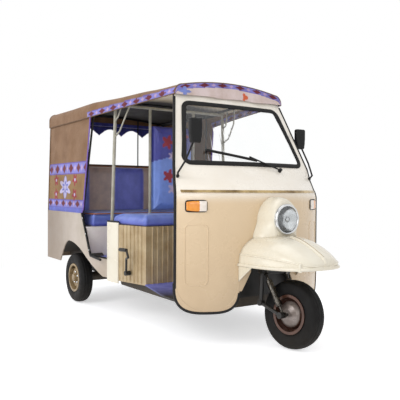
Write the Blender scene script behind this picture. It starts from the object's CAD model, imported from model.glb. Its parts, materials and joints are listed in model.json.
"""Looks of the auto rickshaw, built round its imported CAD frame. Lengths are metres in the part's frame."""

from __future__ import annotations

import json
import logging
import math
from abc import ABC, abstractmethod
from dataclasses import dataclass, field
from enum import Enum
from functools import cache
from typing import Callable, Sequence

import bmesh
import bpy
import numpy as np
from mathutils import Matrix

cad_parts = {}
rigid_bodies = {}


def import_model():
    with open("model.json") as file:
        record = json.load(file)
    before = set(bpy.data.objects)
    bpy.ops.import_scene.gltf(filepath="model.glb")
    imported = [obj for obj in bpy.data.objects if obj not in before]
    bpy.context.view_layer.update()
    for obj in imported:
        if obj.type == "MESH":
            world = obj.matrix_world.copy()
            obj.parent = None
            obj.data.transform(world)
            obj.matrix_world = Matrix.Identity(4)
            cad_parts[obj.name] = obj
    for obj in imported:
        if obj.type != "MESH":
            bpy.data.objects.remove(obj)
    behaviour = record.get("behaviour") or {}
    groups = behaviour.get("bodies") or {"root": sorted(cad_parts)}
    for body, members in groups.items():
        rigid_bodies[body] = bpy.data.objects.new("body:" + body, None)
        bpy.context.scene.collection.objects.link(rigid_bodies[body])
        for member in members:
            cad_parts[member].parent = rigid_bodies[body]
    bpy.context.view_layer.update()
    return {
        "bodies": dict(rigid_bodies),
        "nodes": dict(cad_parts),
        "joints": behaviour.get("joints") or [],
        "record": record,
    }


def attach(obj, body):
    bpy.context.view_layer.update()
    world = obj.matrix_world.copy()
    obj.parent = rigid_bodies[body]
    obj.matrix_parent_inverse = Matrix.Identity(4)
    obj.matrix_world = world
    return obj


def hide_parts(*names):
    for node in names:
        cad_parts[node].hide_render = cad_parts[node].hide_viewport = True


LOG = logging.getLogger("rickshaw")
Array = np.ndarray
Pair = tuple[float, float]
Point = tuple[float, float, float]
Row = tuple[float, ...]
Tree, Socket, Object = bpy.types.NodeTree, bpy.types.NodeSocket, bpy.types.Object
AXLE_X = -0.867
MM = 1000.0
FULL_TURN = 2 * np.pi
SIDES = (-1, 1)
SIDE_WORDS = tuple(zip(SIDES, ("right", "left")))
AHEAD, ACROSS = (1, 0, 0), (0, 1, 0)
WHITE = (1, 1, 1, 1)


def along(mm: float | Sequence[float] | Array) -> Array:
    """Turns millimetres ahead of the rear axle into X in metres."""
    return np.asarray(mm, float) / MM + AXLE_X


def unit(vector: Sequence[float] | Array) -> Array:
    """Gives a vector, or each row of an array, a length of one."""
    v = np.asarray(vector, float)
    return v / np.linalg.norm(v, axis=-1, keepdims=True)


def signed(value: Array, power: float) -> Array:
    """Raises the size of a value to a power and keeps its sign, as a superellipse does."""
    return np.sign(value) * np.abs(value) ** power


def turn(count: int) -> Array:
    """Gives evenly spaced angles once round."""
    return np.linspace(0, FULL_TURN, count, endpoint=False)


def xyz(x: float | Array, y: float | Array, z: float | Array) -> Array:
    """Stacks three coordinates into points, each spread to their common shape."""
    return np.stack(np.broadcast_arrays(x, y, z), -1).astype(float)


def doubled(half: Array, sign: int = 1) -> Array:
    """Sets the mirror image of each row behind it, without the middle column twice."""
    return np.hstack([half, sign * half[:, -2::-1]])


def linear(code: str) -> tuple[float, float, float, float]:
    """Turns an sRGB hex colour into linear light.

    Args:
        code: six hex digits after a hash.

    Returns:
        Linear red, green and blue with full alpha.
    """
    parts = np.array([int(code[i:i + 2], 16) for i in (1, 3, 5)]) / 255.0
    value = np.where(parts <= 0.04045, parts / 12.92, ((parts + 0.055) / 1.055) ** 2.4)
    return (*value.tolist(), 1.0)


def palette(*codes: str) -> Array:
    """Gives hex colours as rows of linear light."""
    return np.array([linear(c)[:3] for c in codes])


def bare_tree(owner: bpy.types.Material | bpy.types.World) -> Tree:
    """Gives a node tree, emptied.

    Args:
        owner: the material or world that holds it.

    Returns:
        The tree.
    """
    owner.use_nodes = True
    owner.node_tree.nodes.clear()
    return owner.node_tree


def add(tree: Tree, kind: str, inputs: dict | None = None, stops: Sequence[tuple[float, str]] = (),
        out: int | str = 0, **settings: object) -> Socket | None:
    """Adds one shader node with its settings and links.

    Args:
        tree: the node tree.
        kind: Blender's class name of the node, after its common start.
        inputs: socket name or place to a constant or to another node's output.
        stops: places and hex colours of a colour ramp's two ends.
        out: name or place of the output wanted.
        **settings: attributes of the node.

    Returns:
        The output wanted, or nothing from a node that has none.
    """
    node = tree.nodes.new("ShaderNode" + kind)
    for key, value in settings.items():
        setattr(node, key, value)
    for key, value in (inputs or {}).items():
        if isinstance(value, Socket):
            tree.links.new(value, node.inputs[key])
        else:
            node.inputs[key].default_value = value
    for k, (at, code) in enumerate(stops):
        node.color_ramp.elements[k].position, node.color_ramp.elements[k].color = at, linear(code)
    return node.outputs[out] if node.outputs else None


def background_rays(tree: Tree) -> Socket:
    """Marks rays that see the background, directly, in gloss or through glass: the greatest of three marks.

    Args:
        tree: the node tree.

    Returns:
        The output that is 1 for such a ray and 0 for one that only carries light.
    """
    seen = add(tree, "LightPath", out="Is Camera Ray")
    for name in ("Is Transmission Ray", "Is Glossy Ray"):
        seen = add(tree, "Math", {0: seen, 1: add(tree, "LightPath", out=name)}, operation="MAXIMUM")
    return seen


class Relief(Enum):
    """Fine surface relief that a finish carries in its bump."""

    GRAIN = "fine random grain"
    WEAVE = "crossed threads along the cloth"
    HIDE = "cells of embossed vinyl"
    RIBS = "straight moulded ribs across the floor"


@dataclass(frozen=True)
class Finish:
    """One real material, with the two tones, gloss and relief that its making gives it."""

    name: str
    slot: str
    colour: str
    second: str
    mottle_mm: float = 120.0
    gloss: Pair = (0.3, 0.45)
    relief: Relief = Relief.GRAIN
    relief_mm: float = 3.0
    depth_mm: float = 0.05
    metallic: float = 0.0
    ior: float = 1.5
    coat: float = 0.0
    sheen: float = 0.0
    transmission: float = 0.0
    dyed: bool = False
    fade: str = ""
    fade_axis: str = "Z"
    fade_span: Pair = (0.2, 1.0)
    dust: str = ""
    dust_top: float = 0.5

    def relief_height(self, tree: Tree, where: Socket) -> Socket:
        """Builds the height field of the bump.

        Args:
            tree: the material's node tree.
            where: Object coordinates.

        Returns:
            The output that holds the height.
        """
        per_m = MM / self.relief_mm
        if self.relief is Relief.HIDE:
            return add(tree, "TexVoronoi", {"Vector": where, "Scale": per_m}, out="Distance")
        if self.relief is Relief.GRAIN:
            return add(tree, "TexNoise", {"Vector": where, "Scale": per_m, "Detail": 3.0}, out="Fac")
        # A band texture repeats every 2 pi / 20 of its scaled coordinate
        bands = {"Scale": per_m * math.pi / 10.0, "Distortion": 0.4, "Detail": 1.0, "Detail Scale": 2.0}
        if self.relief is Relief.RIBS:
            return add(tree, "TexWave", {**bands, "Vector": where}, out="Fac", bands_direction="Y")
        bands["Vector"] = add(tree, "TexCoord", out="UV")
        warp, weft = (add(tree, "TexWave", bands, out="Fac", bands_direction=way) for way in "XY")
        return add(tree, "Math", {0: warp, 1: weft}, operation="MULTIPLY")

    def build(self) -> bpy.types.Material:
        """Builds the material: mottled colour, fading, dye, dust low down, varied gloss and bump.

        Returns:
            The material.
        """
        made = bpy.data.materials.new(self.name)
        tree = bare_tree(made)
        where = add(tree, "TexCoord", out="Object")
        cloud = add(tree, "TexNoise", {"Vector": where, "Scale": MM / self.mottle_mm, "Detail": 5.0,
                                       "Roughness": 0.62}, out="Fac")
        tone = add(tree, "ValToRGB", {"Fac": cloud}, ((0.36, self.colour), (0.68, self.second)))
        if self.fade:
            spot = add(tree, "SeparateXYZ", {0: where}, out=self.fade_axis)
            start, end = self.fade_span
            share = add(tree, "MapRange", {"Value": spot, "From Min": start, "From Max": end, "To Min": 1.0,
                                           "To Max": 0.0}, interpolation_type="SMOOTHSTEP")
            tone = add(tree, "Mix", {0: share, 6: tone, 7: linear(self.fade)}, out=2, data_type="RGBA")
        if self.dyed:
            dye = add(tree, "Attribute", out="Color", attribute_name="dye")
            tone = add(tree, "Mix", {0: 1.0, 6: dye, 7: tone}, out=2, data_type="RGBA", blend_type="MULTIPLY")
        if self.dust:
            height = add(tree, "SeparateXYZ", {0: where}, out="Z")
            reach = add(tree, "MapRange", {"Value": height, "From Min": 0.0, "From Max": self.dust_top,
                                           "To Min": 0.75, "To Max": 0.0})
            share = add(tree, "Math", {0: reach, 1: cloud}, operation="MULTIPLY")
            tone = add(tree, "Mix", {0: share, 6: tone, 7: linear(self.dust)}, out=2, data_type="RGBA")
        smooth, dull = self.gloss
        rough = add(tree, "MapRange", {"Value": cloud, "From Min": 0.3, "From Max": 0.7, "To Min": smooth,
                                       "To Max": dull})
        bump = add(tree, "Bump", {"Height": self.relief_height(tree, where), "Strength": 1.0,
                                  "Distance": self.depth_mm / MM})
        shader = add(tree, "BsdfPrincipled", {
            "Base Color": tone, "Roughness": rough, "Normal": bump,
            "Metallic": self.metallic, "IOR": self.ior, "Coat Weight": self.coat, "Sheen Weight": self.sheen,
            "Transmission Weight": self.transmission})
        add(tree, "OutputMaterial", {"Surface": shader})
        return made


# Cream enamel on pressed steel: an even soft gloss, with a faint cloud in its tone
CREAM = Finish("cream_enamel_on_pressed_steel", "cream_paint", "#E2DBC8", "#D8CEB8", 260, (0.24, 0.3),
               depth_mm=0.03, relief_mm=12, coat=0.35)
# The shell's enamel: nearly white above its belt, beige below, dusty towards the road
BEIGE = Finish("beige_enamel_on_pressed_steel", "cream_paint", "#F3ECDF", "#EBE2D2", 300, (0.25, 0.3),
               depth_mm=0.03, relief_mm=14, coat=0.35, fade="#D9C09C", fade_span=(0.86, 0.965),
               dust="#8E6F48", dust_top=0.85)
# The tub's enamel: greyer, browner to the rear, with dust along its foot
TUB = Finish("tub_enamel_on_pressed_steel", "cream_paint", "#BAADA0", "#AA9D8C", 220, (0.28, 0.45),
             depth_mm=0.06, relief_mm=12, coat=0.25, fade="#867463", fade_axis="X", fade_span=(-1.38, -0.7),
             dust="#9C8468", dust_top=0.55)
# Enamel on ribbed sheet: tan and blotched, with a dull shine
BOX = Finish("seat_box_enamel_on_ribbed_sheet", "cream_paint", "#BAA682", "#9E8660", 110, (0.3, 0.46),
             relief_mm=8, coat=0.2, dust="#8F744F")
# Pale enamel on the seat base: almost white, with a low gloss
LILAC_TIN = Finish("pale_enamel_on_seat_base", "cream_paint", "#F4EDE8", "#EAE0DA", 120, (0.28, 0.4),
                   depth_mm=0.04, relief_mm=9, coat=0.2)
# Grey enamel on steel tube: smooth, with a low shine
POLE = Finish("grey_enamel_on_steel_tube", "black_paint", "#A9A597", "#8E8A78", 50, (0.25, 0.42),
              depth_mm=0.04, relief_mm=4, coat=0.2)
# Stove enamel: black with a slight brown cast, half matt
BLACK = Finish("black_stove_enamel_on_steel", "black_paint", "#121110", "#1E1B18", 60, (0.35, 0.6),
               depth_mm=0.08, relief_mm=4)
# Chassis paint: dull black that browns with road dust low down
UNDER = Finish("black_chassis_paint_with_road_dust", "black_paint", "#191816", "#29241E", 70, (0.5, 0.75),
               depth_mm=0.12, relief_mm=5, dust="#6A5A45", dust_top=0.6)
# Extruded rubber: matt and near black, with a fine grain
RUBBER = Finish("extruded_black_rubber", "rubber_trim", "#0C0B0C", "#161413", 40, (0.45, 0.7), depth_mm=0.1,
                relief_mm=2, ior=1.36)
# Rubber edging: dark brown and matt
EDGING = Finish("brown_rubber_edging", "rubber_trim", "#2A1A14", "#38261C", 40, (0.45, 0.65), depth_mm=0.08)
# Moulded tyre rubber: the dullest black, browned where it meets the road
TYRE = Finish("moulded_tyre_rubber", "tyre", "#080707", "#0F0D0C", 50, (0.55, 0.8), depth_mm=0.15,
              relief_mm=2, ior=1.32, dust="#2E2720", dust_top=0.2)
# Ribbed rubber mat: satin ribs; the dye tells the mat on top from the bare black tray below it
MAT = Finish("ribbed_rubber_floor_mat", "floor_mat", "#FFFFFF", "#D8D4E4", 90, (0.45, 0.65), Relief.RIBS,
             16, 1.2, dyed=True)
# Embossed vinyl cloth: a satin sheen; its cells are drawn 6 mm wide, coarser than real, so that they show
VINYL = Finish("embossed_vinyl_cloth", "blue_vinyl", "#FFFFFF", "#E2E2E8", 90, (0.34, 0.5), Relief.HIDE, 6,
               0.25, coat=0.12, sheen=0.1, dyed=True)
# Waxed cotton canvas: matt; its threads are drawn 5 mm apart, far coarser than real, so that they show
CANVAS = Finish("waxed_cotton_canvas", "canvas", "#FFFFFF", "#E4DCCF", 140, (0.7, 0.88), Relief.WEAVE, 5,
                0.35, sheen=0.06, dyed=True)
# Thin cotton: matt, with a soft sheen; its threads are drawn 4 mm apart, coarser than real, to be seen
CURTAIN = Finish("gathered_cotton_curtain", "curtain_cloth", "#FFFFFF", "#DCDCEB", 60, (0.7, 0.85),
                 Relief.WEAVE, 4, 0.3, sheen=0.3, dyed=True)
# Vinyl cord: rust brown and satin
PIPING = Finish("vinyl_piping_cord", "blue_vinyl", "#A2602F", "#8D4F27", 20, (0.35, 0.5), relief_mm=2)
# Canvas binding: purple and matt, without a visible weave
PURPLE = Finish("purple_canvas_binding", "canvas", "#7C62B4", "#6A50A0", 25, (0.5, 0.7), depth_mm=0.1)
# Canvas binding: a brown near that of the canvas, matt
BINDING = Finish("brown_canvas_binding", "canvas", "#70543B", "#5F4631", 30, (0.6, 0.8), depth_mm=0.15)
# Canvas binding: pale lilac and matt
LILAC = Finish("lilac_canvas_binding", "curtain_cloth", "#B9B6DE", "#A5A2CE", 25, (0.5, 0.7), depth_mm=0.1)
# Plated steel: a bright mirror, barely clouded
CHROME = Finish("plated_bright_steel", "chrome", "#D5D6D6", "#C2C3C4", 80, (0.08, 0.2), depth_mm=0.02,
                relief_mm=5, metallic=1.0)
# Bronzed aluminium: polished, in patches from pale gold to dark bronze
BELT = Finish("bronzed_aluminium_strip", "chrome", "#C4AC7E", "#5E4422", 150, (0.14, 0.3), depth_mm=0.03,
              relief_mm=5, metallic=1.0)
# Oiled spring steel: dark, with bright glints
SPRING = Finish("oiled_spring_steel", "chrome", "#6A6660", "#2E2B28", 14, (0.2, 0.4), metallic=1.0)
# Cast aluminium: dull grey, with a rough grain
CAST = Finish("cast_aluminium_case", "cast_metal", "#6C6D6E", "#55534F", 40, (0.5, 0.7), depth_mm=0.2,
              metallic=0.6)
# Exhaust steel: brown scale, rough, with almost no shine
RUST = Finish("scaled_exhaust_steel", "rusty_steel", "#5A4334", "#3F2F26", 35, (0.6, 0.85), depth_mm=0.2,
              metallic=0.3)
# The front wheel, lightly glossy: the dye tells bare cast drum from brown painted rim
DRUM = Finish("brown_paint_and_cast_drum", "rim_paint", "#FFFFFF", "#C9C2BC", 45, (0.24, 0.42),
              depth_mm=0.08, metallic=0.35, coat=0.3, dyed=True)
# Paint on a pressed rim: a worn beige, dusty at its foot
RIM = Finish("beige_paint_on_pressed_rim", "rim_paint", "#A08A66", "#7E6A4A", 45, (0.35, 0.55),
             depth_mm=0.08, dust="#6C5840", dust_top=0.3)
# Moulded plastic: the deepest black, with a soft satin shine
PLASTIC = Finish("moulded_black_plastic", "black_plastic", "#070708", "#0D0C0D", 30, (0.42, 0.6),
                 depth_mm=0.06, relief_mm=2, ior=1.36)
# Float glass: clear and flat, seen by its reflections alone
GLASS = Finish("float_glass", "glass", "#FFFFFF", "#FCFEFE", 300, (0.01, 0.03), depth_mm=0.0, relief_mm=50,
               transmission=1.0, ior=1.45)
# Pressed lamp glass: clear, rippled by its moulded figure
LAMP = Finish("pressed_lamp_glass", "lamp_glass", "#F2F5F6", "#E6EAEC", 60, (0.03, 0.1), depth_mm=0.5,
              relief_mm=9, transmission=0.92, ior=1.45)
# Moulded acrylic: deep orange under a clear shine
AMBER = Finish("moulded_amber_acrylic", "amber_lens", "#E8921C", "#D87E10", 30, (0.1, 0.2), depth_mm=0.6,
               relief_mm=7, coat=0.6)
# Moulded acrylic: pale and milky under a clear shine
CLEAR = Finish("moulded_clear_acrylic", "lamp_glass", "#EFE6DA", "#DED3C6", 30, (0.08, 0.18), depth_mm=0.6,
               relief_mm=7, coat=0.6)
# Moulded acrylic: dark red, a little dulled
RED = Finish("moulded_red_acrylic", "red_lens", "#A01512", "#86110E", 30, (0.25, 0.35), depth_mm=0.12,
             relief_mm=6, coat=0.1)


@cache
def material(finish: Finish) -> bpy.types.Material:
    """Gives the one material of a finish, made on first use."""
    return finish.build()


@dataclass
class Skin:
    """A surface: points, four-cornered faces, cloth coordinates in metres, and an optional dye per point."""

    points: Array
    quads: Array
    flow: Array
    dye: Array | None = None

    def __add__(self, other: Skin) -> Skin:
        """Joins two surfaces into one.

        Args:
            other: the surface that follows this one.

        Returns:
            The one surface.
        """
        dye = None if self.dye is None or other.dye is None else np.vstack([self.dye, other.dye])
        quads = np.vstack([self.quads, other.quads + len(self.points)])
        return Skin(np.vstack([self.points, other.points]), quads, np.vstack([self.flow, other.flow]), dye)


def woven(points: Array, wrap_u: bool = False, wrap_v: bool = False, dye: Array | None = None) -> Skin:
    """Turns a grid of points into faces; the cloth coordinates are running lengths along the grid's two ways.

    Args:
        points: array of rows by columns by 3.
        wrap_u: whether the last row joins the first.
        wrap_v: whether the last column joins the first.
        dye: colour of each point, as rows by columns by 3.

    Returns:
        The surface.
    """
    m, n = points.shape[:2]
    ids = np.arange(m * n).reshape(m, n)
    ids = np.vstack([ids, ids[:1]]) if wrap_u else ids
    ids = np.hstack([ids, ids[:, :1]]) if wrap_v else ids
    quads = np.stack([ids[:-1, :-1], ids[1:, :-1], ids[1:, 1:], ids[:-1, 1:]], -1).reshape(-1, 4)
    u = np.linalg.norm(np.diff(points, axis=0, prepend=points[:1]), axis=2).cumsum(0)
    v = np.linalg.norm(np.diff(points, axis=1, prepend=points[:, :1]), axis=2).cumsum(1)
    return Skin(points.reshape(-1, 3), quads, np.stack([u, v], -1).reshape(-1, 2),
                None if dye is None else dye.reshape(-1, 3))


def joined(skins: Sequence[Skin]) -> Skin:
    """Joins several surfaces into one.

    Args:
        skins: the surfaces, in order.

    Returns:
        The one surface.
    """
    total = skins[0]
    for other in skins[1:]:
        total = total + other
    return total


def curve(knots: Sequence[Sequence[float]] | Array, count: int) -> Array:
    """Runs a curve through knots: each span is a cubic whose end slopes are half the neighbours' difference.

    Args:
        knots: rows of numbers, such as points.
        count: points wanted.

    Returns:
        Array of count rows.
    """
    k = np.asarray(knots, float)
    slope = np.gradient(k, axis=0)
    t = np.linspace(0, len(k) - 1, count)
    i = np.minimum(t.astype(int), len(k) - 2)
    f = (t - i)[:, None]
    return ((2 * f**3 - 3 * f**2 + 1) * k[i] + (f**3 - 2 * f**2 + f) * slope[i]
            + (3 * f**2 - 2 * f**3) * k[i + 1] + (f**3 - f**2) * slope[i + 1])


def carried(path: Array, profile: Array, closed: bool = False, level: Sequence[float] = (0, 0, 1)) -> Skin:
    """Carries a closed profile along a path: sections stand square to it, their second axis nearest to level.

    Args:
        path: points along the line.
        profile: outline points, across and up.
        closed: whether the path ends where it begins.
        level: the direction that the profile's up keeps to.

    Returns:
        The surface, its ends closed by shrinking to the line where the path is open.
    """
    run = unit(np.roll(path, -1, 0) - np.roll(path, 1, 0) if closed else np.gradient(path, axis=0))
    side = unit(np.cross(run, np.asarray(level, float) + 1e-6))
    up = np.cross(side, run)
    grid = path[:, None] + side[:, None] * profile[None, :, :1] + up[:, None] * profile[None, :, 1:]
    if not closed:
        ends = [np.repeat(path[k][None, None], len(profile), 1) for k in (0, -1)]
        grid = np.concatenate([ends[0], grid, ends[1]])
    return woven(grid, closed, True)


def circle(radius: float, sides: int = 10) -> Array:
    """Gives the points of a circle as across and up."""
    a = turn(sides)
    return radius * np.stack([np.cos(a), np.sin(a)], -1)


def cord(path: Array, radius: float, level: Sequence[float], closed: bool = False, sides: int = 8) -> Skin:
    """Carries a round cord along a path."""
    return carried(path, circle(radius, sides), closed, level)


def rounded_loop(corners: Sequence[Pair], radius: float, count: int) -> Array:
    """Rounds a polygon: each corner is a quadratic arc between points a radius along its two sides.

    Args:
        corners: the polygon's corners.
        radius: distance from a corner at which its arc starts.
        count: points wanted, evenly spaced round the loop.

    Returns:
        Array of count points.
    """
    c = np.asarray(corners, float)
    start, end = (c + radius * unit(np.roll(c, step, 0) - c) for step in (1, -1))
    t = np.linspace(0, 1, 9)[None, :, None]
    arcs = ((1 - t) ** 2 * start[:, None] + 2 * t * (1 - t) * c[:, None] + t**2 * end[:, None]).reshape(-1, 2)
    loop = np.vstack([arcs, arcs[:1]])
    run = np.linalg.norm(np.diff(loop, axis=0, prepend=loop[:1]), axis=1).cumsum()
    at = np.linspace(0, run[-1], count, endpoint=False)
    return np.stack([np.interp(at, run, loop[:, k]) for k in (0, 1)], -1)


def spokes(axis: Sequence[float], angles: Array) -> Array:
    """Gives unit directions square to an axis: a cosine and a sine share two such directions.

    Args:
        axis: the axis.
        angles: the angle of each direction round it.

    Returns:
        A row for each angle.
    """
    n = unit(axis)
    a = unit(np.cross(n, (0, 0, 1.0) if abs(n[2]) < 0.9 else (1.0, 0, 0)))
    return np.cos(angles)[:, None] * a + np.sin(angles)[:, None] * np.cross(n, a)


def turned(profile: Array, centre: Sequence[float], axis: Sequence[float], sides: int) -> Skin:
    """Revolves a profile about an axis: place along the axis and radius give each ring.

    Args:
        profile: rows of place along the axis and radius.
        centre: a point on the axis.
        axis: its direction.
        sides: points round the ring.

    Returns:
        The surface.
    """
    ring = spokes(axis, turn(sides))
    grid = np.asarray(centre) + profile[:, None, :1] * unit(axis) + profile[:, None, 1:] * ring
    return woven(grid, False, True)


def rounded_box(low: Array, high: Array, radius: float, step: float) -> Skin:
    """Builds a box with rounded edges: each surface point is pulled to the radius round the inner box.

    Args:
        low: lowest corner.
        high: highest corner.
        radius: edge radius.
        step: spacing of the grid.

    Returns:
        The closed surface.
    """
    sides = []
    for axis in range(3):
        u, v = [k for k in range(3) if k != axis]
        gu, gv = [np.linspace(low[k], high[k], max(4, int(round((high[k] - low[k]) / step)))) for k in (u, v)]
        for value in (low[axis], high[axis]):
            grid = np.empty((len(gu), len(gv), 3))
            grid[..., u], grid[..., v] = np.meshgrid(gu, gv, indexing="ij")
            grid[..., axis] = value
            sides.append(woven(grid))
    skin = joined(sides)
    core = np.clip(skin.points, low + radius, high - radius)
    out = skin.points - core
    skin.points = core + radius * out / np.maximum(np.linalg.norm(out, axis=1, keepdims=True), 1e-9)
    return skin


def stain(mesh: bpy.types.Mesh, colours: Array) -> None:
    """Writes a colour per point into the attribute named dye.

    Args:
        mesh: the mesh.
        colours: a row of linear light for each point.
    """
    layer = mesh.attributes.get("dye") or mesh.attributes.new("dye", "FLOAT_COLOR", "POINT")
    opaque = np.hstack([colours, np.ones((len(colours), 1))]).astype(np.float32)
    layer.data.foreach_set("color", opaque.ravel())


def points_of(mesh: bpy.types.Mesh) -> Array:
    """Reads a mesh's points.

    Args:
        mesh: the mesh.

    Returns:
        A row for each point.
    """
    co = np.empty(len(mesh.vertices) * 3, np.float32)
    mesh.vertices.foreach_get("co", co)
    return co.reshape(-1, 3).astype(float)


def dressed(piece: Object, finish: Finish, body: str, stands_for: str) -> Object:
    """Links a piece to the scene and dresses it.

    Args:
        piece: the object.
        finish: its material.
        body: the body it rides on.
        stands_for: the CAD node it replaces, if any.

    Returns:
        The object.
    """
    bpy.context.scene.collection.objects.link(piece)
    piece.data.materials.clear()
    piece.data.materials.append(material(finish))
    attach(piece, body)
    if stands_for:
        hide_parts(stands_for)
    LOG.info("%s: %d faces", piece.name, len(piece.data.polygons))
    return piece


def place(name: str, skin: Skin, finish: Finish, closed: bool = False, thick: float = 0.0, body: str = "body",
          stands_for: str = "", slot: str = "") -> Object:
    """Puts a surface into the scene as one piece.

    Args:
        name: the piece's name.
        skin: its surface.
        finish: its material.
        closed: whether doubles are merged and faces turned outwards.
        thick: thickness given inwards by Solidify, or none.
        body: the body it rides on.
        stands_for: the CAD node it replaces, if any.
        slot: its slot, where it isn't the finish's own.

    Returns:
        The object.
    """
    mesh = bpy.data.meshes.new(name)
    mesh.vertices.add(len(skin.points))
    mesh.vertices.foreach_set("co", skin.points.astype(np.float32).ravel())
    mesh.loops.add(skin.quads.size)
    mesh.loops.foreach_set("vertex_index", skin.quads.astype(np.int32).ravel())
    mesh.polygons.add(len(skin.quads))
    mesh.polygons.foreach_set("loop_start", np.arange(0, skin.quads.size, 4, dtype=np.int32))
    mesh.update(calc_edges=True)
    flow = mesh.uv_layers.new(name="flow")
    flow.data.foreach_set("uv", skin.flow[skin.quads.ravel()].astype(np.float32).ravel())
    if skin.dye is not None:
        stain(mesh, skin.dye)
    mesh.validate()
    if closed:
        shape = bmesh.new()
        shape.from_mesh(mesh)
        bmesh.ops.remove_doubles(shape, verts=shape.verts, dist=2e-5)
        bmesh.ops.dissolve_degenerate(shape, edges=shape.edges, dist=1e-6)
        bmesh.ops.recalc_face_normals(shape, faces=shape.faces)
        shape.to_mesh(mesh)
        shape.free()
    mesh.shade_smooth()
    piece = bpy.data.objects.new(name, mesh)
    if thick:
        wall = piece.modifiers.new("wall", "SOLIDIFY")
        wall.thickness, wall.offset = thick, -1.0
    return dressed(piece, finish, body, stands_for)


def smoothed(frame: dict, node: str, finish: Finish, body: str = "body", angle: float = 30.0) -> Object:
    """Copies a CAD node, merges its loose triangles and shades it smooth up to an angle.

    Args:
        frame: the loaded frame.
        node: the CAD node's name, which the copy stands for.
        finish: its material.
        body: the body it rides on.
        angle: edges sharper than this stay sharp.

    Returns:
        The new piece.
    """
    mesh = frame["nodes"][node].data.copy()
    shape = bmesh.new()
    shape.from_mesh(mesh)
    bmesh.ops.remove_doubles(shape, verts=shape.verts, dist=3e-5)
    shape.to_mesh(mesh)
    shape.free()
    if "custom_normal" in mesh.attributes:
        mesh.attributes.remove(mesh.attributes["custom_normal"])
    mesh.shade_smooth()
    mesh.set_sharp_from_angle(angle=math.radians(angle))
    piece = bpy.data.objects.new(node + "_dressed", mesh)
    piece.modifiers.new("soft_shading", "WEIGHTED_NORMAL").keep_sharp = True
    return dressed(piece, finish, body, node)


def mat_dye(piece: Object, front_x: float = 0.6, top_depth: float = 0.004) -> None:
    """Dyes a floor: the mat's colour on its upper face, black below and ahead of where the mat ends.

    Args:
        piece: the floor.
        front_x: where the mat ends.
        top_depth: depth that counts as the upper face.
    """
    co = points_of(piece.data)
    top = (co[:, 2] > co[:, 2].max() - top_depth) & (co[:, 0] < front_x)
    stain(piece.data, np.where(top[:, None], *palette("#7A80CC", "#1E1B19")))


def dress_nodes(frame: dict, rows: Sequence[tuple]) -> None:
    """Dresses CAD nodes that keep their form.

    Args:
        frame: the loaded frame.
        rows: node, finish and, where it isn't the main one, body.
    """
    for node, finish, *body in rows:
        piece = smoothed(frame, node, finish, *body)
        if finish is MAT:
            mat_dye(piece)


def hang(name: str, skin: Skin, finish: Finish,
         hem: tuple[str, Skin, Finish] | None = None, stands_for: str = "") -> None:
    """Hangs one sheet of cloth with its hem.

    Args:
        name: the sheet's name.
        skin: its surface.
        finish: its cloth.
        hem: the hem's name, surface and finish, if it has one.
        stands_for: the CAD node it replaces, if any.
    """
    piece = place(name, skin, finish, stands_for=stands_for)
    hems = [place(*hem, True)] if hem else []


def plain(colour: Array, shape: Sequence[int]) -> Array:
    """Gives one colour to every point of a grid."""
    return np.broadcast_to(colour, (*shape[:2], 3)).copy()


def diamond_band(run: Array, share: Array, pitch: float) -> Array:
    """Draws a woven band: a blue ground, dark red diamonds where two folded coordinates sum to less than a
    limit, pale lozenges between them, and purple edges.

    Args:
        run: distance along the band.
        share: 0 at the band's foot to 1 at its head.
        pitch: distance between diamonds.

    Returns:
        Colour of each point.
    """
    blue, red, pale, edge = palette("#7F7CC6", "#641626", "#BBA0C4", "#5F50A8")
    fold = np.abs(np.mod(run / pitch, 1.0) - 0.5) * 2
    high = np.abs(share - 0.5) * 2
    colour = plain(blue, run.shape)
    colour[(1 - fold) * 2.6 + high < 0.62] = pale
    colour[fold * 1.45 + high < 0.86] = red
    colour[high > 0.84] = edge
    return colour


def rosette(du: Array, dv: Array, size: float, petals: int, angle: float = 0.0) -> Array:
    """Marks a flower: the reach in each direction swings with the cosine of the petals' angle."""
    return np.hypot(du, dv) < size * (0.74 + 0.26 * np.cos(petals * np.arctan2(dv, du) + angle))


def posed(name: str, data: bpy.types.ID, axes: Sequence[Array], where: Sequence[float]) -> Object:
    """Puts a lamp or camera into the scene.

    Args:
        name: its name.
        data: the lamp or camera.
        axes: directions of its own X, Y and Z.
        where: its place.

    Returns:
        The object.
    """
    thing = bpy.data.objects.new(name, data)
    thing.matrix_world = Matrix([[*(axis[k] for axis in axes), where[k]] for k in range(3)] + [[0, 0, 0, 1]])
    bpy.context.scene.collection.objects.link(thing)
    return thing


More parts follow.
